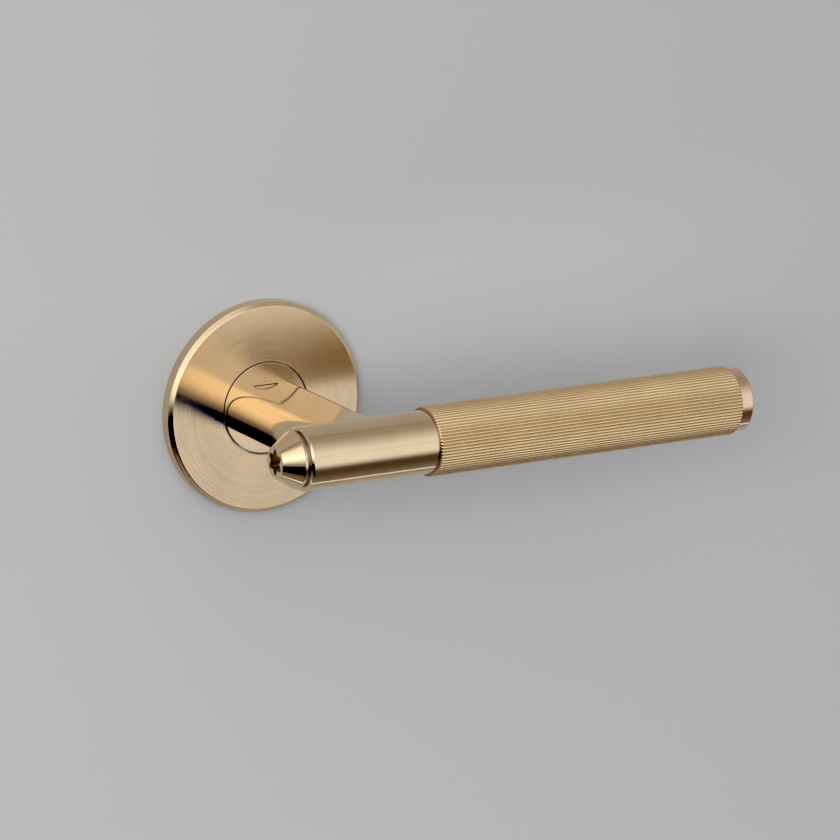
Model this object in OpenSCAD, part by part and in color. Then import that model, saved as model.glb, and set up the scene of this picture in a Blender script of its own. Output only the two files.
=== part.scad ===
// Door lever handle on a slim round rose, with a sprung cassette that sits in the door's spindle bore.
// The origin is the centre of the rose's back face, on the spindle axis. +X runs along the grip, +Y goes
// into the door, -Y comes out to the hand, and +Z is up. The lever is drawn level, at rest on its stop.

/* [Rose] */
// Diameter of the rose cover
rose_d = 56; // [54:0.5:70]
// How far the rose stands off the door
rose_t = 4.2; // [4:0.1:8]
// Width of the bevel round the front of the rose
rose_bevel = 1.0; // [0.3:0.1:1.2]
// Thickness of the rose cover's face
rose_face = 1.3; // [0.8:0.1:1.4]
// Thickness of the rose cover's rim
rose_rim = 1.4; // [1:0.1:2]
// Diameter of the disc that turns in the middle of the rose
hub_d = 24; // [22:0.5:28]
// Gap between the turning disc and the rose
hub_gap = 0.4; // [0.2:0.05:0.8]

/* [Neck] */
// Width of the oblong neck, along the grip
neck_w = 23.5; // [20:0.5:24]
// Height of the oblong neck
neck_h = 12; // [11:0.5:14]
// Diameter of the round spigot that the lever turns on
spigot_d = 14; // [13.6:0.1:15]
// Distance from the door to the grip's axis
grip_reach = 53; // [45:0.5:75]

/* [Grip] */
// Diameter of the smooth barrel
barrel_d = 16.4; // [16:0.1:20]
// Length of barrel on the short side of the spindle axis
barrel_left = 17.1; // [15:0.1:26]
// Length of barrel on the long side of the spindle axis
barrel_right = 19.4; // [15.5:0.1:30]
// Outer diameter of the ribbed sleeve
sleeve_d = 18.1; // [17:0.1:22]
// Length of the ribbed sleeve
sleeve_len = 90.2; // [60:0.1:120]
// Number of ribs round the sleeve
rib_count = 65; // [40:1:80]
// Depth of the grooves between the ribs
rib_depth = 0.35; // [0.15:0.05:0.5]
// Diameter of the core rod inside the sleeve
core_d = 13.8; // [12:0.1:14]
// Diameter of the end cap
cap_d = 16.7; // [16:0.1:20]
// Length of end cap that shows past the sleeve
cap_len = 3.8; // [2:0.1:8]

/* [Cone screw] */
// Diameter of the cone screw's flat tip
tip_d = 8.3; // [7.6:0.1:10]
// Diameter of the cone screw's head at its rim
head_d = 14.6; // [12:0.1:16]
// Length of the cone
cone_len = 4.8; // [3:0.1:8]
// Length of the straight rim behind the cone
rim_len = 0.8; // [0.5:0.1:2]
// Size of the six-point socket across its points
socket_d = 6.75; // [5:0.05:7]
// Depth of the six-point socket
socket_depth = 4; // [2:0.1:4.5]
// Diameter of the cone screw's shank
tie_d = 6; // [5:0.1:6.5]
// Diameter of the washer under the head
washer_d = 13; // [11:0.1:14]
// Thickness of the washer under the head
washer_t = 0.8; // [0.5:0.1:1.5]

/* [Fixing] */
// Side of the square spindle
spindle_s = 8; // [7:0.1:8]
// How far the spindle reaches into the door
spindle_reach = 62; // [45:1:75]
// Distance between the two through bolts
bolt_centres = 38; // [36:0.5:40]
// Diameter of a through bolt
bolt_d = 4; // [3.5:0.1:4.5]
// How far the through bolts reach into the door
bolt_reach = 38; // [25:1:60]
// Distance between the two wood screws
wood_centres = 42; // [40:0.5:43]
// Diameter of a wood screw
wood_d = 3.5; // [3:0.1:4]
// How far the wood screws reach into the door
wood_reach = 16; // [12:1:25]

/* [Cassette] */
// Outer diameter of the spring housing, for a 25 mm bore in the door
housing_d = 24; // [23.6:0.1:24.5]
// Depth of the spring housing behind the door's face
housing_len = 13; // [12:0.5:16]
// Thickness of the spring wire
wire_d = 1.4; // [1:0.1:1.6]
// Number of turns in the return spring
spring_turns = 3; // [2:1:3]
// How far the lever turns down, in degrees
lever_travel = 45; // [30:1:60]

/* [Hidden] */

$fn = 96;
eps = 0.01;          // overshoot of a cut past the face that it opens
fit = 0.05;          // clearance of a close fit, and radial clearance of a bearing
loose = 0.2;         // clearance of a free hole

brass = [0.80, 0.62, 0.38];
steel = [0.62, 0.63, 0.65];
zinc = [0.70, 0.71, 0.70];
nylon = [0.16, 0.15, 0.14];
rubber = [0.12, 0.12, 0.12];

// Rose and mounting plate
rose_r = rose_d / 2;
cover_r = rose_r - rose_rim;            // inside of the cover's rim
hub_r = hub_d / 2;
plate_gap = 0.7;                        // room between the plate and the cover's face, for the bush's flange
plate_t = rose_t - rose_face - plate_gap;
plate_r = cover_r - 0.3;
ring_w = 1.2;                           // thickness of the O-ring
ring_path_r = cover_r - fit - ring_w / 2;
csk_angle_run = 0.9;                    // a countersunk head widens by this much for each mm of height
seat_depth = 1;                         // depth of the recess that the housing is staked into
thread_gap = 0.3;                       // a screw's thread starts this far behind the plate
bolt_head = bolt_d * 1.8;
wood_head = wood_d * 1.9;

// Bearings
spigot_r = spigot_d / 2;
bush_r = spigot_r + fit;
bush_wall = 1.1;
flange_t = 0.5;
flange_r = hub_r - 0.6;
disc_back = -plate_t - flange_t - fit;  // back face of the turning disc
rear_bush_out = 0.3;                    // the rear bush stands this far out of both sides of its wall

// Spring housing
housing_r = housing_d / 2;
housing_wall = 1.2;
housing_in_r = housing_r - housing_wall;
floor_t = 1.4;                          // thickness of the housing's rear wall
floor_y = housing_len - floor_t;

// Driver, stop and spring
driver_t = 2.8;
driver_y = floor_y - rear_bush_out - fit - driver_t;
driver_r = housing_in_r - 0.4;
flat_x = spigot_r - 0.9;                // half the distance across the spigot's two flats
flats_y = driver_y - 0.3;               // where the flats begin
pin_r = 1;
pin_path_r = driver_r - pin_r - 0.1;
pin_play = 0.15;                        // gap between the stop pin and each end of the notch
notch_in_r = pin_path_r - pin_r - 0.3;
notch_edge = asin((pin_r + pin_play) / pin_path_r);
coil_r = spigot_r + 0.9 + wire_d / 2;   // radius of the spring's mean line
coil_y = 1 + wire_d / 2;
coil_pitch = min(wire_d + 0.2, (driver_y - 1 - wire_d - 0.4) / spring_turns);

// Rear of the spigot
washer_gap_y = housing_len + rear_bush_out + fit;
thrust_t = 0.6;
clip_y = washer_gap_y + thrust_t;
clip_t = 1;
clip_in_r = spigot_r - 0.6;
clip_out_r = spigot_r + 2;
spigot_end = clip_y + clip_t + 1.5;

// Neck
neck_end_r = neck_h / 2;
tenon_w = 13;
tenon_h = 9;
tenon_past = 4.8;                       // how far the tenon goes past the grip's axis
bore_s = spindle_s + 2 * fit;
spindle_in = 10;                        // how far the spindle goes into the neck
spindle_y = -rose_t - spindle_in;
grub_r = 2.5;
grub_len = 5.5;
grub_y = -rose_t - spindle_in / 2;
hex_s = 2.5;

// Grip, from left to right
barrel_r = barrel_d / 2;
barrel_x0 = -barrel_left;
barrel_x1 = barrel_right;
sleeve_x1 = barrel_x1 + sleeve_len;
cap_x1 = sleeve_x1 + cap_len;
sleeve_r = sleeve_d / 2;
core_r = core_d / 2;
core_seat = 6;                          // how far the core enters the barrel
core_x0 = barrel_x1 - core_seat;
core_x1 = sleeve_x1 - 0.2;
tie_r = tie_d / 2;
tie_x1 = core_x0 + 18;
stud_len = 14;
edge = 0.5;                             // bevel on the ends of the barrel and the cap
sleeve_edge = 0.3;

// Cone screw
washer_x0 = barrel_x0 - washer_t;
rim_x0 = washer_x0 - rim_len;
tip_x = rim_x0 - cone_len;
socket_r = socket_d / 2;
socket_in_r = socket_r * 0.64;

// Puts a shape that is drawn along +Z on the spindle axis, starting at y and running into the door.
module on_spindle(y = 0) {
    translate([0, y, 0]) rotate([-90, 0, 0]) children();
}

// Puts a shape that is drawn along +Z on the grip's axis, starting at x and running along the grip.
module on_grip(x = 0) {
    translate([x, -grip_reach, 0]) rotate([0, 90, 0]) children();
}

// A turned tube or washer.
module tube(outer, inner, h) {
    difference() {
        cylinder(r = outer, h = h);
        translate([0, 0, -eps]) cylinder(r = inner, h = h + 2 * eps);
    }
}

// Two copies, either side of the spindle axis.
module pair(centres, turn = 0) {
    for (side = [-1, 1]) rotate([0, 0, turn]) translate([side * centres / 2, 0, 0]) children();
}

// The oblong outline of the neck.
module oblong(w, h) {
    square([w - h, h], center = true);
    for (side = [-1, 1]) translate([side * (w - h) / 2, 0]) circle(d = h);
}

// A countersunk screw whose head is flush with z = 0. Its shank runs along +Z: plain and thinner up to
// thread_from, then at the thread's diameter.
module countersunk(d, head, len, thread_from) {
    head_h = (head - d) / 2 / csk_angle_run;
    difference() {
        union() {
            cylinder(d1 = head, d2 = d, h = head_h);
            cylinder(d = d * 0.88, h = thread_from + eps);
            translate([0, 0, thread_from]) cylinder(d = d, h = len - thread_from);
        }
        translate([0, 0, -eps]) cylinder(d = d * 0.7, h = head_h * 0.6, $fn = 6);
    }
}

// The hole that a countersunk screw sits in, with room round its shank.
module countersink(d, head, h) {
    head_h = (head - d) / 2 / csk_angle_run;
    translate([0, 0, -eps]) cylinder(d = d + loose, h = h + 2 * eps);
    cylinder(d1 = head + loose, d2 = d + loose, h = head_h);
}

// A slice of a disc between two angles, with straight sides.
module slice(r, from, to) {
    steps = 8;
    polygon(concat([[0, 0]], [for (i = [0 : steps])
        let (a = from + (to - from) * i / steps) [r * cos(a), r * sin(a)]]));
}

// The spigot's outline: a round with two flats.
module flatted(r, half) {
    intersection() {
        circle(r = r);
        square([2 * half, 3 * r], center = true);
    }
}

// A round bar's outline, turned, with a bevel at each end.
module bevelled(r, len, first, last) {
    rotate_extrude()
        polygon([[0, 0], [r - first, 0], [r, first], [r, len - last], [r - last, len], [0, len]]);
}

module rose_cover() {
    color(brass) on_spindle(-rose_t) rotate_extrude()
        polygon([[hub_r + hub_gap, 0], [rose_r - rose_bevel, 0], [rose_r, rose_bevel], [rose_r, rose_t],
                 [cover_r, rose_t], [cover_r, rose_face], [hub_r + hub_gap, rose_face]]);
}

module cover_o_ring() {
    color(rubber) on_spindle(-plate_t / 2) rotate_extrude()
        translate([ring_path_r, 0]) circle(d = ring_w, $fn = 32);
}

module mounting_plate() {
    groove_w = ring_w + fit;
    color(steel) on_spindle(-plate_t) difference() {
        cylinder(r = plate_r, h = plate_t);
        translate([0, 0, -eps]) cylinder(r = bush_r + bush_wall, h = plate_t + 2 * eps);
        translate([0, 0, plate_t - seat_depth]) cylinder(r = housing_r, h = seat_depth + eps);
        pair(bolt_centres) countersink(bolt_d, bolt_head, plate_t);
        pair(wood_centres, 90) countersink(wood_d, wood_head, plate_t);
        translate([0, 0, (plate_t - groove_w) / 2]) difference() {
            cylinder(r = plate_r + 1, h = groove_w);
            translate([0, 0, -eps]) cylinder(r = ring_path_r - ring_w / 2 - fit, h = groove_w + 2 * eps);
        }
    }
}

module through_bolts() {
    color(steel) on_spindle(-plate_t) pair(bolt_centres)
        countersunk(bolt_d, bolt_head, bolt_reach + plate_t, plate_t + thread_gap);
}

module wood_screws() {
    color(steel) on_spindle(-plate_t) pair(wood_centres, 90)
        countersunk(wood_d, wood_head, wood_reach + plate_t, plate_t + thread_gap);
}

module spring_housing() {
    leg_y = coil_y - wire_d / 2 - loose;
    color(zinc) difference() {
        on_spindle(-seat_depth) cylinder(r = housing_r, h = housing_len + seat_depth);
        on_spindle(-seat_depth - eps) cylinder(r = housing_in_r, h = floor_y + seat_depth + eps);
        on_spindle(floor_y - eps) cylinder(r = bush_r + bush_wall, h = floor_t + 2 * eps);
        on_spindle(floor_y - eps) translate([0, pin_path_r, 0]) cylinder(r = pin_r, h = floor_t + 2 * eps);
        translate([housing_in_r - 1, leg_y, -wire_d / 2 - loose])
            cube([housing_wall + 2, wire_d + 2 * loose, wire_d + 2 * loose]);
    }
}

module front_bush() {
    color(nylon) union() {
        on_spindle(-plate_t - flange_t) tube(flange_r, bush_r, flange_t);
        on_spindle(-plate_t - eps) tube(bush_r + bush_wall, bush_r, plate_t - loose + eps);
    }
}

module rear_bush() {
    color(nylon) on_spindle(floor_y - rear_bush_out)
        tube(bush_r + bush_wall, bush_r, floor_t + 2 * rear_bush_out);
}

module stop_pin() {
    color(steel) on_spindle(driver_y + 0.4) translate([0, pin_path_r, 0])
        cylinder(r = pin_r, h = housing_len - driver_y - 0.4, $fn = 32);
}

// The wire's mean line at turn t, drawn along +Z.
function coil_point(t) = [coil_r * cos(360 * t), coil_r * sin(360 * t), t * coil_pitch];

// One ring of points round the wire at turn t.
function wire_ring(t, sides) = [for (i = [0 : sides - 1])
    let (a = 360 * i / sides, out = wire_d / 2 * cos(a), up = wire_d / 2 * sin(a))
    coil_point(t) + [out * cos(360 * t), out * sin(360 * t), up]];

module return_spring() {
    sides = 8;
    rings = 20 * spring_turns;
    points = [for (k = [0 : rings]) each wire_ring(spring_turns * k / rings, sides)];
    walls = [for (k = [0 : rings - 1]) for (i = [0 : sides - 1])
        let (j = (i + 1) % sides)
        [k * sides + j, (k + 1) * sides + j, (k + 1) * sides + i, k * sides + i]];
    first = [for (i = [sides - 1 : -1 : 0]) i];
    last = [for (i = [0 : sides - 1]) rings * sides + i];
    leg = housing_r - housing_wall / 2 - coil_r;
    coil_end_y = coil_y + spring_turns * coil_pitch;
    color(steel) union() {
        on_spindle(coil_y) polyhedron(points = points, faces = concat(walls, [first, last]));
        translate([coil_r, coil_y, 0]) rotate([0, 90, 0]) cylinder(d = wire_d - 0.1, h = leg, $fn = 24);
        on_spindle(coil_end_y) translate([coil_r, 0, 0])
            cylinder(d = wire_d - 0.1, h = driver_y + driver_t / 2 - coil_end_y, $fn = 24);
    }
}

module neck() {
    root_y = -rose_t;
    color(brass) difference() {
        union() {
            difference() {
                on_spindle(-grip_reach) linear_extrude(grip_reach + root_y) oblong(neck_w, neck_h);
                on_grip(-neck_w) cylinder(r = barrel_r, h = 2 * neck_w);
            }
            translate([-tenon_w / 2, -grip_reach - tenon_past, -tenon_h / 2])
                cube([tenon_w, tenon_past + barrel_r, tenon_h]);
            on_spindle(root_y - eps) cylinder(r = spigot_r, h = flats_y - root_y + eps);
            on_spindle(flats_y - eps) linear_extrude(spigot_end - flats_y + eps) flatted(spigot_r, flat_x);
        }
        on_spindle(clip_y) tube(spigot_r + 1, clip_in_r, clip_t);
        translate([-bore_s / 2, spindle_y - 0.5, -bore_s / 2])
            cube([bore_s, spigot_end - spindle_y + 1, bore_s]);
        translate([0, grub_y, 0]) rotate([0, 90, 0]) cylinder(r = grub_r, h = neck_w);
        on_grip(-neck_w) cylinder(r = tie_r + loose / 2, h = 2 * neck_w);
    }
}

module hub_disc() {
    color(brass) on_spindle(-rose_t) tube(hub_r, spigot_r, disc_back + rose_t);
}

module spring_driver() {
    color(steel) on_spindle(driver_y) difference() {
        linear_extrude(driver_t) difference() {
            circle(r = driver_r);
            flatted(spigot_r, flat_x);
            difference() {
                slice(driver_r + 4, 90 - lever_travel - notch_edge, 90 + notch_edge);
                circle(r = notch_in_r);
            }
        }
        translate([coil_r, 0, -eps]) cylinder(d = wire_d + loose, h = driver_t + 2 * eps);
    }
}

module thrust_washer() {
    color(steel) on_spindle(washer_gap_y) tube(clip_out_r + 0.3, spigot_r + fit, thrust_t - fit);
}

module circlip() {
    gap_w = 4;
    color(steel) on_spindle(clip_y) linear_extrude(clip_t) difference() {
        circle(r = clip_out_r);
        circle(r = clip_in_r);
        translate([-gap_w / 2, -2 * clip_out_r]) square([gap_w, 2 * clip_out_r]);
        for (side = [-1, 1]) rotate(side * 30) translate([0, -(clip_in_r + clip_out_r) / 2]) circle(r = 0.6);
    }
}

module spindle() {
    color(steel) on_spindle(spindle_y) linear_extrude(spindle_reach - spindle_y)
        square(spindle_s, center = true);
}

module spindle_grub_screw() {
    color(steel) translate([spindle_s / 2, grub_y, 0]) rotate([0, 90, 0]) difference() {
        cylinder(r = grub_r, h = grub_len);
        translate([0, 0, grub_len - hex_s]) cylinder(d = hex_s / cos(30), h = hex_s + eps, $fn = 6);
    }
}

module barrel() {
    slot_w = tenon_w + 2 * fit;
    slot_h = tenon_h + 2 * fit;
    color(brass) difference() {
        on_grip(barrel_x0) bevelled(barrel_r, barrel_x1 - barrel_x0, edge, eps);
        on_grip(barrel_x0 - eps) cylinder(r = tie_r + loose / 2, h = barrel_x1 - barrel_x0);
        on_grip(core_x0) cylinder(r = core_r + fit, h = core_seat + 1);
        translate([-slot_w / 2, -grip_reach - tenon_past - fit, -slot_h / 2])
            cube([slot_w, tenon_past + barrel_r + 1, slot_h]);
    }
}

module grip_core() {
    color(steel) difference() {
        on_grip(core_x0) cylinder(r = core_r, h = core_x1 - core_x0);
        on_grip(core_x0 - eps) cylinder(r = tie_r, h = tie_x1 - core_x0 + 2);
        on_grip(sleeve_x1 - stud_len - 1) cylinder(r = tie_r, h = stud_len + 2);
    }
}

// The ribbed outline: rounded-looking ribs from flats, with narrow grooves between them.
module ribbed(r, depth, count) {
    step = 360 / count;
    polygon([for (i = [0 : count - 1]) for (p = [[-0.36, 0.35], [-0.2, 1], [0.2, 1], [0.36, 0.35], [0.5, 0]])
        let (a = step * (i + p[0]), q = r - depth * (1 - p[1])) [q * cos(a), q * sin(a)]]);
}

module grip_sleeve() {
    color(brass) on_grip(barrel_x1) difference() {
        intersection() {
            linear_extrude(sleeve_len) ribbed(sleeve_r, rib_depth, rib_count);
            bevelled(sleeve_r + eps, sleeve_len, sleeve_edge, sleeve_edge);
        }
        translate([0, 0, -eps]) cylinder(r = core_r + loose / 2, h = sleeve_len + 2 * eps);
    }
}

module end_cap() {
    color(brass) union() {
        on_grip(sleeve_x1) bevelled(cap_d / 2, cap_len, eps, edge);
        on_grip(sleeve_x1 - stud_len) cylinder(r = tie_r, h = stud_len + eps);
    }
}

module cone_screw() {
    head_r = head_d / 2;
    color(brass) difference() {
        on_grip(tip_x) rotate_extrude()
            polygon([[0, 0], [tip_d / 2, 0], [head_r, cone_len], [head_r, cone_len + rim_len],
                     [tie_r, cone_len + rim_len], [tie_r, tie_x1 - tip_x], [0, tie_x1 - tip_x]]);
        on_grip(tip_x - eps) linear_extrude(socket_depth + eps)
            polygon([for (i = [0 : 11]) (i % 2 == 0 ? socket_r : socket_in_r) * [cos(30 * i), sin(30 * i)]]);
    }
}

module cone_washer() {
    color(steel) on_grip(washer_x0) tube(washer_d / 2, tie_r + loose / 2, washer_t);
}

rose_cover();
cover_o_ring();
mounting_plate();
through_bolts();
wood_screws();
spring_housing();
front_bush();
rear_bush();
stop_pin();
return_spring();
neck();
hub_disc();
spring_driver();
thrust_washer();
circlip();
spindle();
spindle_grub_screw();
barrel();
grip_core();
grip_sleeve();
end_cap();
cone_screw();
cone_washer();
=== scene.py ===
"""Door lever handle in satin brass: the finished look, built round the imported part.

The frame gives every place: +X runs along the grip, +Y goes into the door, +Z is up, and lengths are metres.
Each sub-assembly is a class that builds its meshes and dresses them in a finish.
"""
import logging
import math
from collections.abc import Sequence
from dataclasses import dataclass, field, replace
from enum import Enum

import bmesh
import bpy
from mathutils import Matrix, Vector


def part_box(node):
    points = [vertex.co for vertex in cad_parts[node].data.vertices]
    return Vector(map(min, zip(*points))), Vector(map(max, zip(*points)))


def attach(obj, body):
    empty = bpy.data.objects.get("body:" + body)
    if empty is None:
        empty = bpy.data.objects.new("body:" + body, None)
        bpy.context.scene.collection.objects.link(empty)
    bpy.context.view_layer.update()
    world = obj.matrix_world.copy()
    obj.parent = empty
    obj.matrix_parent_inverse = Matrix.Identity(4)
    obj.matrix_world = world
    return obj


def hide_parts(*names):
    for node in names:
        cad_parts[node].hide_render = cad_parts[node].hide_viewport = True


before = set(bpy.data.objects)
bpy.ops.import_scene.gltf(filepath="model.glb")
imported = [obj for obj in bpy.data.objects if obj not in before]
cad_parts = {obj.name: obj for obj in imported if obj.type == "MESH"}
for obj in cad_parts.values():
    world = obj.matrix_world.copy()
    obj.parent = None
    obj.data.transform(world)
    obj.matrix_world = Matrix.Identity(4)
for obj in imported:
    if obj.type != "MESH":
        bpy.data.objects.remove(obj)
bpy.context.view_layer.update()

MM = 0.001
WELD = 1e-7                  # vertices closer than this are one
TURN_STEPS = 192             # faces round a turned piece
FULL_TURN = 2 * math.pi
CREASE = math.radians(32)    # faces that meet at more than this make a sharp edge
FACE_WEIGHT = 100            # smooth shading follows the larger faces only
log = logging.getLogger("lever")

Colour = tuple[float, float, float]
Outline = Sequence[tuple[float, float]]


class Body(Enum):
    """The two bodies that the joint parts."""

    ROSE = "rose"
    LEVER = "lever"


class Slot(Enum):
    """The record's material slots."""

    POLISHED = "polished_brass"
    RIBBED = "ribbed_brass"
    STEEL = "steel"
    SPRING = "spring_steel"
    ZINC = "cast_zinc"
    NYLON = "nylon"
    RUBBER = "rubber"


# ---------------------------------------------------------------------------------------------------------
# Shader graphs
# ---------------------------------------------------------------------------------------------------------


class Value:
    """A shader number. Arithmetic on it adds Math nodes to its graph."""

    def __init__(self, graph: "Graph", socket: bpy.types.NodeSocket) -> None:
        """Wraps a socket.

        Args:
            graph: the graph that new nodes go into.
            socket: the output socket that holds the number.
        """
        self.graph = graph
        self.socket = socket

    def _math(self, operation: str, *values: "Value | float") -> "Value":
        """Adds one Math node.

        Args:
            operation: the node's operation.
            values: the node's inputs, in order.

        Returns:
            The node's result.
        """
        sockets = [v.socket if isinstance(v, Value) else v for v in values]
        node = self.graph.node("ShaderNodeMath", {"operation": operation}, dict(enumerate(sockets)))
        return Value(self.graph, node.outputs[0])

    def __add__(self, other: "Value | float") -> "Value":
        """The sum."""
        return self._math("ADD", self, other)

    __radd__ = __add__

    def __sub__(self, other: "Value | float") -> "Value":
        """The difference."""
        return self._math("SUBTRACT", self, other)

    def __rsub__(self, other: float) -> "Value":
        """The difference, the other way round."""
        return self._math("SUBTRACT", other, self)

    def __mul__(self, other: "Value | float") -> "Value":
        """The product."""
        return self._math("MULTIPLY", self, other)

    __rmul__ = __mul__

    def power(self, exponent: float) -> "Value":
        """The number raised to a power."""
        return self._math("POWER", self, exponent)

    def atan2(self, other: "Value") -> "Value":
        """The angle whose tangent is this number over the other one."""
        return self._math("ARCTAN2", self, other)

    def ease(self, start: float, end: float) -> "Value":
        """Runs smoothly from 0 to 1.

        Args:
            start: where the result is 0.
            end: where the result is 1; it may be below start.

        Returns:
            The eased number.
        """
        low, high = min(start, end), max(start, end)
        node = self.graph.node(
            "ShaderNodeMapRange", {"interpolation_type": "SMOOTHSTEP"},
            {"Value": self.socket, "From Min": low, "From Max": high})
        eased = Value(self.graph, node.outputs[0])
        return eased if start < end else 1 - eased


class Graph:
    """The node tree of one material or world."""

    def __init__(self, tree: bpy.types.NodeTree) -> None:
        """Empties a node tree and takes it over."""
        self.tree = tree
        tree.nodes.clear()

    def node(self, kind: str, settings: dict | None = None, inputs: dict | None = None) -> bpy.types.Node:
        """Adds a node.

        Args:
            kind: the node's type.
            settings: properties, such as an operation, that are set first.
            inputs: a value, a Value or an output socket for each named or numbered input.

        Returns:
            The new node.
        """
        made = self.tree.nodes.new(kind)
        for key, setting in (settings or {}).items():
            setattr(made, key, setting)
        for key, given in (inputs or {}).items():
            source = given.socket if isinstance(given, Value) else given
            if isinstance(source, bpy.types.NodeSocket):
                self.tree.links.new(source, made.inputs[key])
            else:
                made.inputs[key].default_value = source
        return made

    def place(self) -> bpy.types.NodeSocket:
        """Where a point lies, in the piece's own coordinates."""
        return self.node("ShaderNodeTexCoord").outputs["Object"]

    def parts(self, vector: bpy.types.NodeSocket) -> tuple[Value, Value, Value]:
        """The three parts of a vector."""
        split = self.node("ShaderNodeSeparateXYZ", inputs={0: vector})
        return tuple(Value(self, s) for s in split.outputs)

    def vector(self, operation: str, *values: object) -> bpy.types.NodeSocket:
        """Adds one Vector Math node and gives its vector result."""
        made = self.node("ShaderNodeVectorMath", {"operation": operation}, dict(enumerate(values)))
        return made.outputs[0]

    def scaled(self, vector: object, factor: Value) -> bpy.types.NodeSocket:
        """A vector or colour times a number."""
        made = self.node("ShaderNodeVectorMath", {"operation": "SCALE"}, {0: vector, "Scale": factor})
        return made.outputs[0]

    def noise(self, vector: bpy.types.NodeSocket, scale: float, detail: float = 2.0,
              rough: float = 0.5) -> Value:
        """Noise over a vector.

        Args:
            vector: where the noise is read.
            scale: how many blobs fit in a metre.
            detail: how many finer layers are added.
            rough: how strong the finer layers are.

        Returns:
            The noise, about 0.5 on average.
        """
        made = self.node("ShaderNodeTexNoise", inputs={
            "Vector": vector, "Scale": scale, "Detail": detail, "Roughness": rough})
        return Value(self, made.outputs[0])

    def blend(self, factor: Value, first: Colour, second: Colour) -> bpy.types.NodeSocket:
        """Mixes two colours.

        Args:
            factor: 0 for the first colour, 1 for the second.
            first: a linear colour.
            second: another one.

        Returns:
            The mixed colour.
        """
        made = self.node("ShaderNodeMix", {"data_type": "RGBA"}, {
            "Factor": factor, 6: (*first, 1.0), 7: (*second, 1.0)})
        return made.outputs[2]


def shade(colour: Colour, factor: float) -> Colour:
    """A colour made lighter or darker."""
    return tuple(min(1.0, c * factor) for c in colour)


# ---------------------------------------------------------------------------------------------------------
# Finishes
# ---------------------------------------------------------------------------------------------------------


@dataclass(frozen=True)
class Finish:
    """A metal or moulded finish: a colour that drifts a little, with a roughness that drifts too."""

    name: str
    slot: Slot
    colour: Colour
    roughness: float = 0.2
    metallic: float = 1.0
    drift: float = 0.04          # how far the colour strays from its mean
    drift_scale: float = 90.0
    drift_range: tuple[float, float] = (0.3, 0.7)
    smudge: float = 0.05         # how far the roughness strays from its mean
    smudge_scale: float = 160.0

    def material(self) -> bpy.types.Material:
        """Makes the material, or finds it if it is already made.

        Returns:
            The material.
        """
        made = bpy.data.materials.get(self.name)
        if made is None:
            made = bpy.data.materials.new(self.name)
            made.use_nodes = True
            graph = Graph(made.node_tree)
            shader = graph.node("ShaderNodeBsdfPrincipled", inputs={"Metallic": self.metallic})
            output = graph.node("ShaderNodeOutputMaterial")
            made.node_tree.links.new(shader.outputs[0], output.inputs[0])
            self.dress(graph, shader)
        return made

    def link(self, graph: Graph, shader: bpy.types.Node, socket: str, source: object) -> None:
        """Feeds one of the shader's sockets."""
        source = source.socket if isinstance(source, Value) else source
        graph.tree.links.new(source, shader.inputs[socket])

    def dress(self, graph: Graph, shader: bpy.types.Node) -> None:
        """Fills in colour and roughness.

        Args:
            graph: the material's graph.
            shader: its Principled shader.
        """
        place = graph.place()
        colour = graph.blend(self.drifting(graph, place), shade(self.colour, 1 - self.drift),
                             shade(self.colour, 1 + self.drift))
        self.link(graph, shader, "Base Color", colour)
        self.link(graph, shader, "Roughness", self.roughening(graph, place))

    def drifting(self, graph: Graph, place: bpy.types.NodeSocket) -> Value:
        """A slow 0 to 1 drift over the piece."""
        return graph.noise(place, self.drift_scale, detail=3.0).ease(*self.drift_range)

    def roughening(self, graph: Graph, place: bpy.types.NodeSocket) -> Value:
        """The roughness, with soft smudges from handling."""
        return self.roughness + (graph.noise(place, self.smudge_scale, detail=4.0) - 0.5) * (2 * self.smudge)


@dataclass(frozen=True)
class Brushed(Finish):
    """A finish whose fine lines run round an axis, as a lathe or a buff leaves them."""

    axis: Colour = (0.0, 1.0, 0.0)
    centre: Colour = (0.0, 0.0, 0.0)
    lines_per_mm: float = 9.0
    line_tilt: float = 0.1       # how far a line tilts the surface

    def dress(self, graph: Graph, shader: bpy.types.Node) -> None:
        """Adds the lines, which tilt the surface to and fro.

        Args:
            graph: the material's graph.
            shader: its Principled shader.
        """
        super().dress(graph, shader)
        place = graph.vector("SUBTRACT", graph.place(), self.centre)
        along = graph.node("ShaderNodeVectorMath", {"operation": "DOT_PRODUCT"}, {0: place, 1: self.axis})
        height = Value(graph, along.outputs["Value"])
        outward = graph.vector("SUBTRACT", place, graph.scaled(self.axis, height))
        radius = Value(graph, graph.node("ShaderNodeVectorMath", {"operation": "LENGTH"},
                                         {0: outward}).outputs["Value"])
        direction = graph.vector("NORMALIZE", outward)
        line = graph.node("ShaderNodeCombineXYZ", inputs={0: radius, 1: height}).outputs[0]
        lines = graph.noise(line, self.lines_per_mm / MM, detail=1.0, rough=0.6) - 0.5
        across = graph.scaled(direction, lines * self.line_tilt)
        lengthwise = graph.scaled(self.axis, lines * self.line_tilt)
        normal = graph.node("ShaderNodeNewGeometry").outputs["Normal"]
        turned = graph.node("ShaderNodeVectorTransform", {
            "vector_type": "VECTOR", "convert_from": "OBJECT", "convert_to": "WORLD"},
            {0: graph.vector("ADD", across, lengthwise)}).outputs[0]
        tilted = graph.vector("NORMALIZE", graph.vector("ADD", normal, turned))
        self.link(graph, shader, "Normal", tilted)


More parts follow.
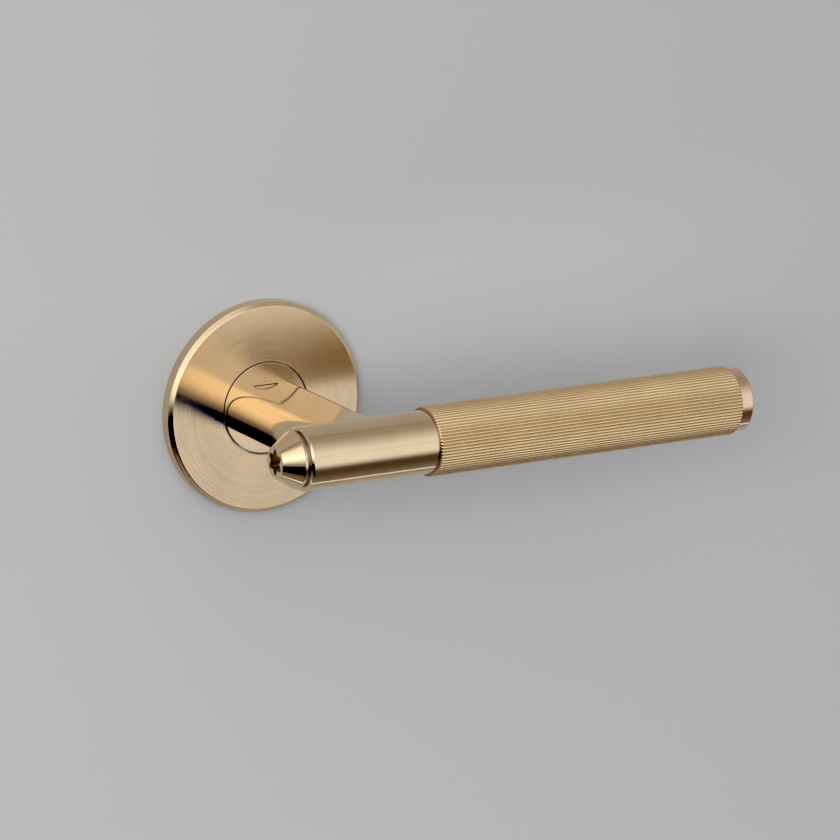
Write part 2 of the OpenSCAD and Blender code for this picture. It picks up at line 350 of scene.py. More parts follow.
@dataclass(frozen=True)
class Ribbed(Finish):
    """The sleeve's finish: grooves darkened with painted shade, and a little duller than the crests."""

    bar_y: float = 0.0
    crest: float = 0.009         # radius of the ribs' crests
    depth: float = 0.35 * MM
    unshaded_depth: float = 0.05 * MM    # how far below the crests the painted groove shade has faded out
    groove_shade: float = 0.55   # the grooves' colour with painted shade, as a share of the crests'
    groove_rough: float = 0.12   # how much rougher the grooves are

    def dress(self, graph: Graph, shader: bpy.types.Node) -> None:
        """Paints shade into the grooves and roughens them.

        Args:
            graph: the material's graph.
            shader: its Principled shader.
        """
        place = graph.place()
        _, y, z = graph.parts(place)
        out = y - self.bar_y
        radius = (out * out + z * z).power(0.5)
        crest_unshaded = radius.ease(self.crest - self.depth, self.crest - self.unshaded_depth)
        drift = self.drifting(graph, place) * (2 * self.drift)
        # painted shade: the grooves' colour is darkened to groove_shade of the crests' colour
        colour = graph.blend(crest_unshaded, shade(self.colour, self.groove_shade), self.colour)
        self.link(graph, shader, "Base Color", graph.scaled(colour, 1 - self.drift + drift))
        self.link(graph, shader, "Roughness", self.roughening(graph, place) + (1 - crest_unshaded) * self.groove_rough)


@dataclass(frozen=True)
class Grained(Finish):
    """A cast, moulded or plated finish with a fine raised grain."""

    grain_scale: float = 2500.0
    grain_height: float = 0.02 * MM
    grain_strength: float = 0.5
    specular: float = 0.5

    def dress(self, graph: Graph, shader: bpy.types.Node) -> None:
        """Adds the grain under the colour and roughness.

        Args:
            graph: the material's graph.
            shader: its Principled shader.
        """
        super().dress(graph, shader)
        shader.inputs["Specular IOR Level"].default_value = self.specular
        grain = graph.noise(graph.place(), self.grain_scale, detail=3.0)
        bump = graph.node("ShaderNodeBump", inputs={
            "Strength": self.grain_strength, "Distance": self.grain_height, "Height": grain})
        self.link(graph, shader, "Normal", bump.outputs[0])


# ---------------------------------------------------------------------------------------------------------
# Meshes
# ---------------------------------------------------------------------------------------------------------


@dataclass(frozen=True)
class Axis:
    """A line that pieces are turned about."""

    origin: Vector
    along: Vector
    out: Vector                  # the direction that outlines are drawn in

    def point(self, radius: float, distance: float) -> Vector:
        """The point at a radius and a distance along the axis."""
        return self.origin + self.out * radius + self.along * distance


def wire(points: Sequence[Vector], closed: bool = False) -> bmesh.types.BMesh:
    """Starts a mesh from a line of points.

    Args:
        points: the corners of the line.
        closed: True if the last point joins the first.

    Returns:
        The new mesh.
    """
    bm = bmesh.new()
    corners = [bm.verts.new(p) for p in points]
    for first, second in zip(corners, corners[1:] + (corners[:1] if closed else [])):
        bm.edges.new((first, second))
    return bm


def turn(outline: Outline, axis: Axis, rounding: float = 0.0, ring: bool = False,
         steps: int = TURN_STEPS, segments: int = 3) -> bmesh.types.BMesh:
    """Turns an outline about an axis.

    Args:
        outline: (radius, distance along the axis) of each corner.
        axis: the axis.
        rounding: how far each corner is rounded off.
        ring: True for a closed outline that stays clear of the axis.
        steps: faces round the piece.
        segments: faces across each rounded corner.

    Returns:
        The turned mesh.
    """
    bm = wire([axis.point(r, d) for r, d in outline], ring)
    if rounding > 0:
        corners = [v for v, (radius, _) in zip(list(bm.verts), outline)
                   if radius > 0 and len(v.link_edges) > 1]
        bmesh.ops.bevel(bm, geom=corners, offset=rounding, segments=segments, profile=0.5,
                        affect="VERTICES", clamp_overlap=True, material=-1)
    bmesh.ops.spin(bm, geom=bm.verts[:] + bm.edges[:], cent=axis.origin, axis=axis.along,
                   angle=FULL_TURN, steps=steps, use_merge=True)
    return tidy(bm)


def tidy(bm: bmesh.types.BMesh) -> bmesh.types.BMesh:
    """Merges doubles, clears slivers and points every face outwards."""
    bmesh.ops.remove_doubles(bm, verts=bm.verts[:], dist=WELD)
    bmesh.ops.dissolve_degenerate(bm, edges=bm.edges[:], dist=WELD)
    bmesh.ops.recalc_face_normals(bm, faces=bm.faces[:])
    return bm


def merged(*parts: bmesh.types.BMesh) -> bmesh.types.BMesh:
    """Puts several meshes into one."""
    whole = bmesh.new()
    for part in parts:
        data = bpy.data.meshes.new("part")
        part.to_mesh(data)
        part.free()
        whole.from_mesh(data)
        bpy.data.meshes.remove(data)
    return whole


def helix(section: Sequence[Vector], axis: Axis, pitch: float, turns: float,
          steps: int = 24) -> bmesh.types.BMesh:
    """Winds a closed section round an axis.

    Args:
        section: the section's corners, where it starts.
        axis: the axis.
        pitch: how far one turn climbs.
        turns: how many turns.
        steps: faces in one turn.

    Returns:
        The wound mesh, closed at both ends.
    """
    bm = wire(section, closed=True)
    bmesh.ops.contextual_create(bm, geom=bm.edges[:])
    bmesh.ops.spin(bm, geom=bm.faces[:], cent=axis.origin, axis=axis.along,
                   dvec=axis.along * pitch / steps, angle=FULL_TURN * turns, steps=round(steps * turns))
    return tidy(bm)


@dataclass(frozen=True)
class Dressing:
    """What a finished piece stands for: its finish, its body and the node that it replaces."""

    finish: Finish
    body: Body
    replaces: str


def finish_piece(name: str, bm: bmesh.types.BMesh, dressing: Dressing) -> None:
    """Makes a mesh into a finished piece.

    Args:
        name: the piece's name.
        bm: its mesh, which is used up.
        dressing: its finish, body and node.
    """
    for face in bm.faces:
        face.smooth = True
    for edge in bm.edges:
        edge.smooth = edge.calc_face_angle(0.0) < CREASE
    data = bpy.data.meshes.new(name)
    bm.to_mesh(data)
    count = len(bm.faces)
    bm.free()
    data.materials.append(dressing.finish.material())
    piece = bpy.data.objects.new(name, data)
    bpy.context.scene.collection.objects.link(piece)
    weighted = piece.modifiers.new("weighted normals", "WEIGHTED_NORMAL")
    weighted.weight = FACE_WEIGHT
    weighted.keep_sharp = True
    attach(piece, dressing.body.value)
    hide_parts(dressing.replaces)
    log.info("%s: %d faces, rides on %s", name, count, dressing.body.value)


def finish_node(node: str, finish: Finish) -> None:
    """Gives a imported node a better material.

    Args:
        node: the node's name.
        finish: its finish.
    """
    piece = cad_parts[node]
    for slot in piece.material_slots:
        slot.material = finish.material()
    log.info("%s: %s", node, finish.name)


# ---------------------------------------------------------------------------------------------------------
# The object
# ---------------------------------------------------------------------------------------------------------

BAR_Y = (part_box("barrel")[0].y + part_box("barrel")[1].y) / 2
SPINDLE_AXIS = Axis(Vector((0, 0, 0)), Vector((0, 1, 0)), Vector((1, 0, 0)))
GRIP_AXIS = Axis(Vector((0, BAR_Y, 0)), Vector((1, 0, 0)), Vector((0, 0, 1)))

BRASS: Colour = (0.72, 0.54, 0.33)
ROSE_BRASS = Brushed("spun_brass_rose", Slot.POLISHED, BRASS, roughness=0.15, smudge=0.03,
                     lines_per_mm=40.0, line_tilt=1.3)
HUB_BRASS = replace(ROSE_BRASS, name="turned_brass_hub", roughness=0.16, line_tilt=0.5)
BAR_BRASS = Brushed("satin_brass_bar", Slot.POLISHED, BRASS, roughness=0.14, smudge=0.03,
                    axis=(1.0, 0.0, 0.0), centre=(0.0, BAR_Y, 0.0), lines_per_mm=9.0, line_tilt=0.05)
CONE_BRASS = replace(BAR_BRASS, name="polished_brass_cone", roughness=0.1, line_tilt=0.04)
CAP_BRASS = replace(BAR_BRASS, name="rosy_brass_cap", colour=(0.76, 0.52, 0.36), roughness=0.12,
                    line_tilt=0.04)
NECK_BRASS = Finish("polished_brass_neck", Slot.POLISHED, BRASS, roughness=0.09, smudge=0.03)
# the sleeve's finish carries painted shade in its grooves
RIB_BRASS = Ribbed("ribbed_brass_sleeve", Slot.RIBBED, (0.76, 0.54, 0.28), roughness=0.27, smudge=0.04,
                   bar_y=BAR_Y)
PLATED_STEEL = Grained("plated_steel", Slot.STEEL, (0.62, 0.63, 0.66), roughness=0.3, smudge=0.1,
                       drift=0.08)
DARK_STEEL = Finish("dark_steel", Slot.SPRING, (0.33, 0.33, 0.35), roughness=0.32, smudge=0.08, drift=0.1)
CAST_ZINC = Grained("cast_zinc", Slot.ZINC, (0.58, 0.59, 0.58), roughness=0.42, smudge=0.08,
                    grain_height=0.05 * MM)
NYLON = Grained("dark_nylon", Slot.NYLON, (0.024, 0.021, 0.018), roughness=0.45, metallic=0.0)
RUBBER = Grained("black_rubber", Slot.RUBBER, (0.02, 0.02, 0.02), roughness=0.6, metallic=0.0,
                 specular=0.3)


@dataclass
class Rose:
    """The round cover on the door, with its ring and mounting plate."""

    bevel: float = 1.0 * MM
    face: float = 1.3 * MM
    rim: float = 1.4 * MM
    hub_gap: float = 0.4 * MM
    rounding: float = 0.1 * MM
    steps: int = 256

    def cover(self) -> bmesh.types.BMesh:
        """The cover: a thin dish with a bevelled edge and a round hole.

        Returns:
            The cover's mesh.
        """
        low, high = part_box("rose_cover")
        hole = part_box("hub_disc")[1].x + self.hub_gap
        front, back, radius = low.y, high.y, high.x
        inner = radius - self.rim
        return turn([(hole, front), (radius - self.bevel, front), (radius, front + self.bevel),
                     (radius, back), (inner, back), (inner, front + self.face), (hole, front + self.face)],
                    SPINDLE_AXIS, self.rounding, ring=True, steps=self.steps)

    def build(self) -> None:
        """Builds and dresses the rose."""
        finish_piece("rose_cover_spun", self.cover(), Dressing(ROSE_BRASS, Body.ROSE, "rose_cover"))
        finish_node("cover_o_ring", RUBBER)
        finish_node("mounting_plate", PLATED_STEEL)


@dataclass
class Screw:
    """A countersunk screw with a real thread."""

    axis: Axis
    thread: float                # thread diameter
    pitch: float
    head: float                  # head diameter
    head_y: float
    thread_y: float
    end_y: float
    point: float                 # length of the point or of the end's chamfer
    tooth: float = 0.14          # thread depth as a share of the diameter
    widening: float = 0.9        # how much the head's radius grows over each step along it
    pointed: float = 0.15        # the end's radius as a share of the core's, if it has a point
    blunt: float = 0.8           # and if it has a chamfer
    foot: float = 0.9            # radius of a tooth's foot as a share of the core's
    peak: float = 0.985          # radius of its peak as a share of the thread's
    flanks: tuple[float, ...] = (0.1, 0.42, 0.52, 0.85)    # a tooth's corners as shares of the pitch
    runout: float = 0.9          # turns of thread left out at the end
    rounding: float = 0.05 * MM

    def build(self) -> bmesh.types.BMesh:
        """The screw's mesh.

        Returns:
            Head and core in one turned shape, with the thread wound round it.
        """
        radius, core = self.thread / 2, self.thread * (0.5 - self.tooth)
        cone = (self.head / 2 - radius) / self.widening
        tip = core * (self.pointed if self.point > self.thread / 2 else self.blunt)
        shank = turn([(0, self.head_y), (self.head / 2, self.head_y), (core, self.head_y + cone),
                      (core, self.end_y - self.point), (tip, self.end_y), (0, self.end_y)],
                     self.axis, self.rounding, steps=48, segments=2)
        turns = (self.end_y - self.point - self.thread_y) / self.pitch
        foot, peak = core * self.foot, radius * self.peak
        section = [self.axis.point(reach, self.thread_y + share * self.pitch)
                   for reach, share in zip((foot, peak, peak, foot), self.flanks)]
        return merged(shank, helix(section, self.axis, self.pitch, turns - self.runout))


@dataclass
class Fixings:
    """The two machine screws that go through the door and the two wood screws."""

    bolt_pitch: float = 0.7 * MM
    bolt_head: float = 1.8       # head diameter as a share of the thread's
    bolt_chamfer: float = 0.6 * MM
    wood_pitch: float = 1.3 * MM
    wood_head: float = 1.9
    wood_point: float = 5.0 * MM
    thread_y: float = 0.3 * MM   # where the threads start

    def screws(self, node: str, sideways: Vector, pitch: float, head_share: float,
               point: float) -> bmesh.types.BMesh:
        """The two screws of one node.

        Args:
            node: the node that they stand for.
            sideways: the direction from one screw to the other.
            pitch: their thread's pitch.
            head_share: their head's diameter as a share of the thread's.
            point: the length of each screw's point.

        Returns:
            Both screws in one mesh.
        """
        low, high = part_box(node)
        head = (high - low).dot(Vector((sideways.z, 0, sideways.x)))
        centres = (high - low).dot(sideways) - head
        both = []
        for side in (-1, 1):
            axis = Axis(sideways * side * centres / 2, Vector((0, 1, 0)), sideways)
            screw = Screw(axis, head / head_share, pitch, head, low.y, self.thread_y, high.y, point)
            both.append(screw.build())
        return merged(*both)

    def build(self) -> None:
        """Builds and dresses the fixings."""
        bolts = self.screws("through_bolts", Vector((1, 0, 0)), self.bolt_pitch, self.bolt_head,
                            self.bolt_chamfer)
        finish_piece("through_bolts_threaded", bolts, Dressing(PLATED_STEEL, Body.ROSE, "through_bolts"))
        wood = self.screws("wood_screws", Vector((0, 0, 1)), self.wood_pitch, self.wood_head, self.wood_point)
        finish_piece("wood_screws_threaded", wood, Dressing(PLATED_STEEL, Body.ROSE, "wood_screws"))


@dataclass
class Cassette:
    """The spring cassette behind the rose."""

    wire: float = 1.4 * MM
    coil: float = 8.6 * MM       # radius of the spring's mean line
    turns: int = 3
    turn_gap: float = 0.2 * MM   # the most that two turns stand apart
    sides: int = 14
    steps: int = 48              # faces in one turn
    leg_inset: float = 0.05 * MM     # how much less their radius is than the coil's
    leg_rounding: float = 0.15 * MM
    leg_steps: int = 20

    def spring(self) -> bmesh.types.BMesh:
        """The return spring: a close coil with a leg at each end.

        Returns:
            The spring's mesh.
        """
        low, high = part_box("return_spring")
        start = low.y + self.wire / 2
        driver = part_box("spring_driver")[0].y
        pitch = min(self.wire + self.turn_gap, (driver - start - self.wire) / self.turns)
        centre = SPINDLE_AXIS.point(self.coil, start)
        section = [centre + Vector((math.cos(a), math.sin(a), 0)) * self.wire / 2
                   for a in (FULL_TURN * i / self.sides for i in range(self.sides))]
        coil = helix(section, SPINDLE_AXIS, pitch, self.turns, self.steps)
        leg = Axis(Vector((self.coil, start, 0)), Vector((1, 0, 0)), Vector((0, 1, 0)))
        hook = Axis(Vector((self.coil, start + self.turns * pitch, 0)), Vector((0, 1, 0)), Vector((1, 0, 0)))
        thin = self.wire / 2 - self.leg_inset
        legs = [turn([(0, 0), (thin, 0), (thin, reach), (0, reach)], axis, self.leg_rounding,
                     steps=self.leg_steps)
                for axis, reach in ((leg, high.x - self.coil), (hook, high.y - hook.origin.y))]
        return merged(coil, *legs)

    def build(self) -> None:
        """Builds and dresses the cassette."""
        finish_piece("return_spring_wound", self.spring(), Dressing(DARK_STEEL, Body.ROSE, "return_spring"))
        finish_node("spring_housing", CAST_ZINC)
        finish_node("front_bush", NYLON)
        finish_node("rear_bush", NYLON)
        finish_node("stop_pin", PLATED_STEEL)


@dataclass
class Neck:
    """The oblong neck, the disc that it stands on and what turns with it inside the door."""

    height: float = 12.0 * MM
    buried: float = 5.5 * MM     # the neck ends this far short of the grip's axis, inside the barrel
    sides: int = 128
    spigot: float = 7.0 * MM     # the spigot's radius
    root: float = 0.5 * MM       # how far behind the disc's face the spigot starts
    flat: float = 0.9 * MM       # depth of its two flats
    flat_run: float = 0.3 * MM   # how far in front of the driver they start
    groove: float = 0.6 * MM     # depth of the clip's groove
    chamfer: float = 0.4 * MM
    rounding: float = 0.12 * MM
    bar_chamfer: float = 0.8 * MM    # at the square spindle's ends
    bar_rounding: float = 0.3 * MM   # along its corners

    def oblong(self) -> bmesh.types.BMesh:
        """The neck from the disc to the grip.

        Returns:
            The neck's mesh, with its far end inside the barrel.
        """
        low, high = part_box("neck")
        width, height = high.x - low.x, self.height
        front, back = BAR_Y + self.buried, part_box("hub_disc")[0].y
        bm = bmesh.new()
        half_step = Matrix.Rotation(math.pi / self.sides, 4, "Z")
        bmesh.ops.create_circle(bm, cap_ends=True, radius=height / 2, segments=self.sides, matrix=half_step)
        for v in bm.verts:
            v.co.x += math.copysign((width - height) / 2, v.co.x)
        bmesh.ops.rotate(bm, verts=bm.verts[:], matrix=Matrix.Rotation(math.radians(90), 3, "X"))
        bmesh.ops.translate(bm, verts=bm.verts[:], vec=(0, back, 0))
        grown = bmesh.ops.extrude_face_region(bm, geom=bm.faces[:])
        moved = [v for v in grown["geom"] if isinstance(v, bmesh.types.BMVert)]
        bmesh.ops.translate(bm, verts=moved, vec=(0, front - back, 0))
        return tidy(bm)

    def shaft(self) -> bmesh.types.BMesh:
        """The round spigot behind the neck, with its two flats and its clip groove.

        Returns:
            The spigot's mesh.
        """
        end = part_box("neck")[1].y
        clip_low, clip_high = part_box("circlip")
        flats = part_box("spring_driver")[0].y - self.flat_run
        floor = self.spigot - self.groove
        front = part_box("hub_disc")[0].y + self.root
        bm = turn([(0, front), (self.spigot, front), (self.spigot, flats), (self.spigot, clip_low.y),
                   (floor, clip_low.y), (floor, clip_high.y), (self.spigot, clip_high.y),
                   (self.spigot, end - self.chamfer), (self.spigot - self.chamfer, end), (0, end)],
                  SPINDLE_AXIS)
        half = self.spigot - self.flat
        for v in bm.verts:
            if v.co.y > flats + WELD:
                v.co.x = max(-half, min(half, v.co.x))
        return tidy(bm)

    def disc(self) -> bmesh.types.BMesh:
        """The disc that turns in the rose's hole.

        Returns:
            The disc's mesh.
        """
        low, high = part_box("hub_disc")
        return turn([(self.spigot, low.y), (high.x, low.y), (high.x, high.y), (self.spigot, high.y)],
                    SPINDLE_AXIS, self.rounding, ring=True)

    def square_spindle(self) -> bmesh.types.BMesh:
        """The square spindle with chamfered ends.

        Returns:
            The spindle's mesh.
        """
        low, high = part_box("spindle")
        bm = bmesh.new()
        bmesh.ops.create_cube(bm, size=1)
        bmesh.ops.scale(bm, verts=bm.verts[:], vec=high - low)
        bmesh.ops.translate(bm, verts=bm.verts[:], vec=(low + high) / 2)
        ends = [e for e in bm.edges if abs(e.verts[0].co.y - e.verts[1].co.y) < WELD]
        bmesh.ops.bevel(bm, geom=ends, offset=self.bar_chamfer, segments=1, profile=0.5, affect="EDGES",
                        material=-1)
        half = (high.y - low.y) / 2
        corners = [e for e in bm.edges if abs(e.verts[0].co.y - e.verts[1].co.y) > half]
        bmesh.ops.bevel(bm, geom=corners, offset=self.bar_rounding, segments=3, profile=0.5,
                        affect="EDGES", material=-1)
        return tidy(bm)

    def build(self) -> None:
        """Builds and dresses the neck."""
        finish_piece("neck_oblong", self.oblong(), Dressing(NECK_BRASS, Body.LEVER, "neck"))
        finish_piece("neck_spigot", self.shaft(), Dressing(NECK_BRASS, Body.LEVER, "neck"))
        finish_piece("hub_disc_turned", self.disc(), Dressing(HUB_BRASS, Body.LEVER, "hub_disc"))
        finish_piece("spindle_square", self.square_spindle(), Dressing(PLATED_STEEL, Body.LEVER, "spindle"))
        finish_node("spring_driver", PLATED_STEEL)
        finish_node("thrust_washer", PLATED_STEEL)
        finish_node("circlip", DARK_STEEL)
        finish_node("spindle_grub_screw", DARK_STEEL)


@dataclass
class Grip:
    """The bar: smooth barrel, ribbed sleeve, end cap and the core inside."""

    edge: float = 0.5 * MM
    sleeve_edge: float = 0.3 * MM
    rounding: float = 0.08 * MM
    ribs: int = 65
    rib_depth: float = 0.35 * MM
    rib_power: float = 0.55      # below 1 the crests are broad and the grooves are narrow
    faces_per_rib: int = 10
    core_gap: float = 0.1 * MM   # between the core and the sleeve

    def barrel(self) -> bmesh.types.BMesh:
        """The smooth barrel.

        Returns:
            The barrel's mesh.
        """
        low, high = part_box("barrel")
        radius = high.z
        return turn([(0, low.x), (radius - self.edge, low.x), (radius, low.x + self.edge), (radius, high.x),
                     (0, high.x)], GRIP_AXIS, self.rounding)

    def rib_radius(self, angle: float, crest: float) -> float:
        """How far the ribs stand out at an angle round the bar.

        Args:
            angle: the angle, in radians.
            crest: the radius of the ribs' crests.

        Returns:
            The radius there.
        """
        share = (angle * self.ribs / FULL_TURN + 0.5) % 1 - 0.5
        return crest - self.rib_depth * (1 - max(0.0, math.cos(math.pi * share)) ** self.rib_power)

    def sleeve(self) -> bmesh.types.BMesh:
        """The ribbed sleeve: a turned tube whose outside is cut into ribs.

        Returns:
            The sleeve's mesh.
        """
        low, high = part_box("grip_sleeve")
        start, end, crest, cut = low.x, high.x, high.z, self.sleeve_edge
        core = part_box("grip_core")[1].z + self.core_gap
        bm = turn([(core, start), (crest - cut, start), (crest, start + cut), (crest, end - cut),
                   (crest - cut, end), (core, end)],
                  GRIP_AXIS, ring=True, steps=self.ribs * self.faces_per_rib)
        for v in bm.verts:
            y, z = v.co.y - BAR_Y, v.co.z
            radius = math.hypot(y, z)
            wanted = min(radius, self.rib_radius(math.atan2(z, y), crest))
            v.co.y, v.co.z = BAR_Y + y * wanted / radius, z * wanted / radius
        return bm

    def cap(self) -> bmesh.types.BMesh:
        """The plain cap on the sleeve's end.

        Returns:
            The cap's mesh.
        """
        start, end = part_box("grip_sleeve")[1].x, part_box("end_cap")[1].x
        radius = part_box("end_cap")[1].z
        return turn([(0, start), (radius, start), (radius, end - self.edge), (radius - self.edge, end),
                     (0, end)], GRIP_AXIS, self.rounding)

    def build(self) -> None:
        """Builds and dresses the grip."""
        finish_piece("barrel_smooth", self.barrel(), Dressing(BAR_BRASS, Body.LEVER, "barrel"))
        finish_piece("sleeve_ribbed", self.sleeve(), Dressing(RIB_BRASS, Body.LEVER, "grip_sleeve"))
        finish_piece("end_cap_turned", self.cap(), Dressing(CAP_BRASS, Body.LEVER, "end_cap"))
        finish_node("grip_core", PLATED_STEEL)


@dataclass
class ConeScrew:
    """The cone-headed screw on the bar's short end, with its six-point socket and its washer."""

    cone: float = 4.8 * MM
    rim: float = 0.8 * MM
    tip: float = 4.15 * MM       # radius of the flat end
    socket: float = 3.375 * MM   # radius of the socket's points
    socket_in: float = 2.3 * MM  # and between them
    socket_depth: float = 4.0 * MM
    socket_taper: float = 0.97   # width of the socket's floor as a share of its mouth's
    lobes: int = 6
    rounding: float = 0.1 * MM
    washer_rounding: float = 0.05 * MM

    def head(self) -> bmesh.types.BMesh:
        """The head with its socket.

        Returns:
            The head's mesh.
        """
        low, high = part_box("cone_screw")
        front, radius = low.x, high.z
        back = front + self.cone + self.rim
        bm = turn([(self.tip, front), (radius, front + self.cone), (radius, back), (0, back)],
                  GRIP_AXIS, self.rounding)
        mouth = [e for e in bm.edges if e.is_boundary]
        angles = [FULL_TURN * i / TURN_STEPS for i in range(TURN_STEPS)]
        rings = []
        for x, scale in ((front, 1.0), (front + self.socket_depth, self.socket_taper)):
            corners = []
            for angle in angles:
                wave = (1 + math.cos(self.lobes * angle)) / 2
                r = (self.socket_in + (self.socket - self.socket_in) * wave) * scale
                corners.append(bm.verts.new((x, BAR_Y + r * math.sin(angle), r * math.cos(angle))))
            rings.append([bm.edges.new((a, b)) for a, b in zip(corners, corners[1:] + corners[:1])])
        bmesh.ops.bridge_loops(bm, edges=mouth + rings[0])
        bmesh.ops.bridge_loops(bm, edges=rings[0] + rings[1])
        bmesh.ops.contextual_create(bm, geom=rings[1])
        return tidy(bm)

    def washer(self) -> bmesh.types.BMesh:
        """The washer under the head.

        Returns:
            The washer's mesh.
        """
        low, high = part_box("cone_washer")
        return turn([(0, low.x), (high.z, low.x), (high.z, high.x), (0, high.x)], GRIP_AXIS,
                    self.washer_rounding)

    def build(self) -> None:
        """Builds and dresses the cone screw."""
        finish_piece("cone_screw_head", self.head(), Dressing(CONE_BRASS, Body.LEVER, "cone_screw"))
        finish_piece("cone_washer_turned", self.washer(), Dressing(DARK_STEEL, Body.LEVER, "cone_washer"))


# ---------------------------------------------------------------------------------------------------------
# The studio
# ---------------------------------------------------------------------------------------------------------


@dataclass(frozen=True)
class Strip:
    """A long soft light or dark flag that lies along the grip, seen at an angle above or below level."""

    name: str
    low: float                   # where it starts, in degrees up from straight out of the door
    high: float                  # where it ends
    low_feather: float
    high_feather: float
    colour: Colour

    def mask(self, angle: Value) -> Value:
        """How much of the strip is seen in a direction.

        Args:
            angle: the direction's angle, in degrees.

        Returns:
            0 outside the strip and 1 in it.
        """
        up = angle.ease(self.low - self.low_feather / 2, self.low + self.low_feather / 2)
        down = angle.ease(self.high - self.high_feather / 2, self.high + self.high_feather / 2)
        return up * (1 - down)


@dataclass(frozen=True)
class Patch:
    """A soft light or dark card to one side, beyond the grip's short end."""

    name: str
    side: tuple[float, float]    # the direction's sideways part, where it starts and where it is full
    rise: tuple[float, float]    # the angle where its low edge starts and where it is full
    fall: tuple[float, float]    # and the same for its high edge
    colour: Colour

    def mask(self, sideways: Value, angle: Value) -> Value:
        """How much of the patch is seen in a direction.

        Args:
            sideways: the direction's sideways part.
            angle: the direction's angle, in degrees.

        Returns:
            0 outside the patch and 1 in it.
        """
        return sideways.ease(*self.side) * angle.ease(*self.rise) * angle.ease(*self.fall)


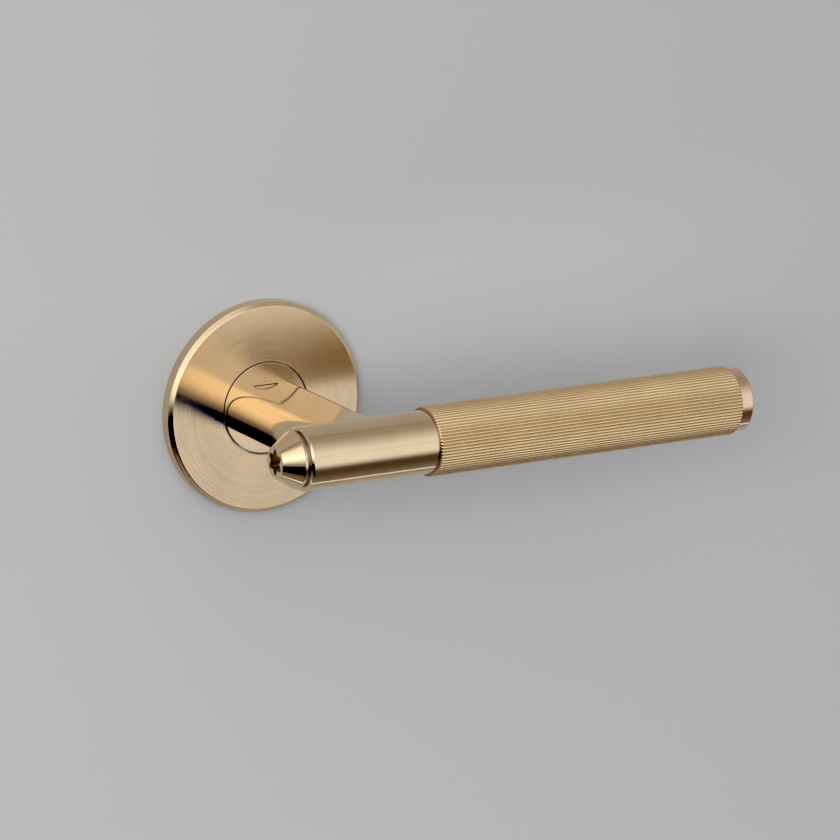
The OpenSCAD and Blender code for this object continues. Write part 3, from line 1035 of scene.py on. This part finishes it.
@dataclass
class Studio:
    """Wall, floor and lights."""

    wall_colour: Colour = (0.318, 0.314, 0.31)
    wall_size: float = 4.0
    floor_colour: Colour = (0.72, 0.72, 0.71)
    floor_size: float = 1.2
    floor_z: float = -0.45
    paint_roughness: float = 0.6
    key_place: tuple[float, float, float] = (-0.7, -0.95, 0.25)
    key_aim: tuple[float, float, float] = (0.04, 0.0, 0.0)
    key_size: float = 0.6
    key_power: float = 12.0
    backdrop: Colour = (0.5, 0.5, 0.5)
    ambient: Colour = (0.225, 0.2, 0.172)
    strips: tuple[Strip, ...] = field(default_factory=lambda: (
        Strip("front", -23, 46, 22, 56, (0.84, 0.92, 1.04)),
        Strip("over", 48, 96, 34, 40, (0.2, 0.195, 0.19)),
        Strip("seam", 12, 16, 4, 4, (-0.16, -0.16, -0.16)),
        Strip("flag", -66, -31, 36, 12, (-0.13, -0.14, -0.145)),
        Strip("under", -93, -87, 3, 3, (1.3, 1.35, 1.45)),
    ))
    patches: tuple[Patch, ...] = field(default_factory=lambda: (
        Patch("fill", (0.38, 0.1), (2, 22), (84, 60), (0.9, 0.94, 0.98)),
        Patch("card", (0.36, 0.16), (-60, -36), (6, -12), (-0.75, -0.8, -0.84)),
    ))

    def world(self) -> None:
        """Sets the light that surrounds the object."""
        world = bpy.data.worlds.new("studio")
        bpy.context.scene.world = world
        world.use_nodes = True
        graph = Graph(world.node_tree)
        x, y, z = graph.parts(graph.node("ShaderNodeTexCoord").outputs["Generated"])
        angle = z.atan2(0 - y) * (180 / math.pi)
        light: object = self.ambient
        for strip in self.strips:
            light = graph.vector("ADD", light, graph.scaled(strip.colour, strip.mask(angle)))
        for patch in self.patches:
            light = graph.vector("ADD", light, graph.scaled(patch.colour, patch.mask(x, angle)))
        studio = graph.node("ShaderNodeBackground", inputs={"Color": light})
        plain = graph.node("ShaderNodeBackground", inputs={"Color": (*self.backdrop, 1.0)})
        seen = graph.node("ShaderNodeLightPath").outputs["Is Camera Ray"]
        mixed = graph.node("ShaderNodeMixShader", inputs={0: seen, 1: studio.outputs[0], 2: plain.outputs[0]})
        output = graph.node("ShaderNodeOutputWorld")
        graph.tree.links.new(mixed.outputs[0], output.inputs[0])

    def painted(self, name: str, colour: Colour, one_sided: bool) -> bpy.types.Material:
        """A plain painted surface.

        Args:
            name: the material's name.
            colour: its colour.
            one_sided: True if it is clear from behind.

        Returns:
            The material.
        """
        material = bpy.data.materials.new(name)
        material.use_nodes = True
        graph = Graph(material.node_tree)
        paint = graph.node("ShaderNodeBsdfPrincipled", inputs={
            "Base Color": (*colour, 1.0), "Roughness": self.paint_roughness})
        output = graph.node("ShaderNodeOutputMaterial")
        surface = paint.outputs[0]
        if one_sided:
            clear = graph.node("ShaderNodeBsdfTransparent")
            behind = graph.node("ShaderNodeNewGeometry").outputs["Backfacing"]
            surface = graph.node("ShaderNodeMixShader", inputs={
                0: behind, 1: surface, 2: clear.outputs[0]}).outputs[0]
        material.node_tree.links.new(surface, output.inputs[0])
        return material

    def plane(self, name: str, matrix: Matrix, size: float, material: bpy.types.Material,
              reflected: bool = True) -> None:
        """Adds a flat backdrop.

        Args:
            name: its name.
            matrix: where it lies.
            size: its side.
            material: its material.
            reflected: False if the metal doesn't mirror it.
        """
        bm = bmesh.new()
        bmesh.ops.create_grid(bm, x_segments=1, y_segments=1, size=size / 2, matrix=matrix)
        data = bpy.data.meshes.new(name)
        bm.to_mesh(data)
        bm.free()
        data.materials.append(material)
        made = bpy.data.objects.new(name, data)
        bpy.context.scene.collection.objects.link(made)
        made.visible_glossy = reflected

    def lamp(self) -> None:
        """Adds the soft square key lamp, which the metal doesn't mirror."""
        light = bpy.data.lights.new("key", "AREA")
        light.size = self.key_size
        light.energy = self.key_power
        lamp = bpy.data.objects.new("key", light)
        place = Vector(self.key_place)
        lamp.location = place
        lamp.rotation_mode = "QUATERNION"
        lamp.rotation_quaternion = (Vector(self.key_aim) - place).to_track_quat("-Z", "Y")
        lamp.visible_camera = False
        lamp.visible_glossy = False
        bpy.context.scene.collection.objects.link(lamp)

    def build(self) -> None:
        """Builds the studio."""
        bpy.context.scene.view_settings.view_transform = "Standard"
        self.world()
        wall = self.painted("wall_paint", self.wall_colour, one_sided=True)
        self.plane("wall", Matrix.Rotation(math.radians(90), 4, "X"), self.wall_size, wall)
        floor = self.painted("floor_paint", self.floor_colour, one_sided=False)
        self.plane("floor", Matrix.Translation((0, 0, self.floor_z)), self.floor_size, floor, reflected=False)
        self.lamp()
        log.info("studio: %s", ", ".join(light.name for light in (*self.strips, *self.patches)))


@dataclass
class Camera:
    """A long lens that looks at the lever from its short end's side and a little from above."""

    azimuth: float = 29.71       # degrees round towards the short end
    elevation: float = 14.75
    roll: float = 0.52
    lens: float = 251.3
    sensor: float = 36.0
    clip_end: float = 20.0
    distance: float = 1.521
    sideways: float = 0.04197    # how far right of the rose's centre it looks
    upward: float = -0.00373

    def build(self) -> None:
        """Makes the camera and sets it as the scene's."""
        a, e = math.radians(self.azimuth), math.radians(self.elevation)
        back = Vector((-math.sin(a) * math.cos(e), -math.cos(a) * math.cos(e), math.sin(e)))
        right = Vector((math.cos(a), -math.sin(a), 0))
        up = back.cross(right)
        data = bpy.data.cameras.new("camera")
        data.lens = self.lens
        data.sensor_width = self.sensor
        data.clip_end = self.clip_end
        camera = bpy.data.objects.new("camera", data)
        turned = Matrix((right, up, back)).transposed() @ Matrix.Rotation(math.radians(self.roll), 3, "Z")
        place = right * self.sideways + up * self.upward + back * self.distance
        camera.matrix_world = Matrix.Translation(place) @ turned.to_4x4()
        bpy.context.scene.collection.objects.link(camera)
        bpy.context.scene.camera = camera
        log.info("camera: %.1f mm lens at %.3f m", self.lens, self.distance)


def main() -> None:
    """Builds every sub-assembly, the studio and the camera."""
    logging.basicConfig(level=logging.INFO, format="%(message)s")
    for part in (Camera(), Rose(), Fixings(), Cassette(), Neck(), Grip(), ConeScrew(), Studio()):
        part.build()


if __name__ == "__main__":
    main()
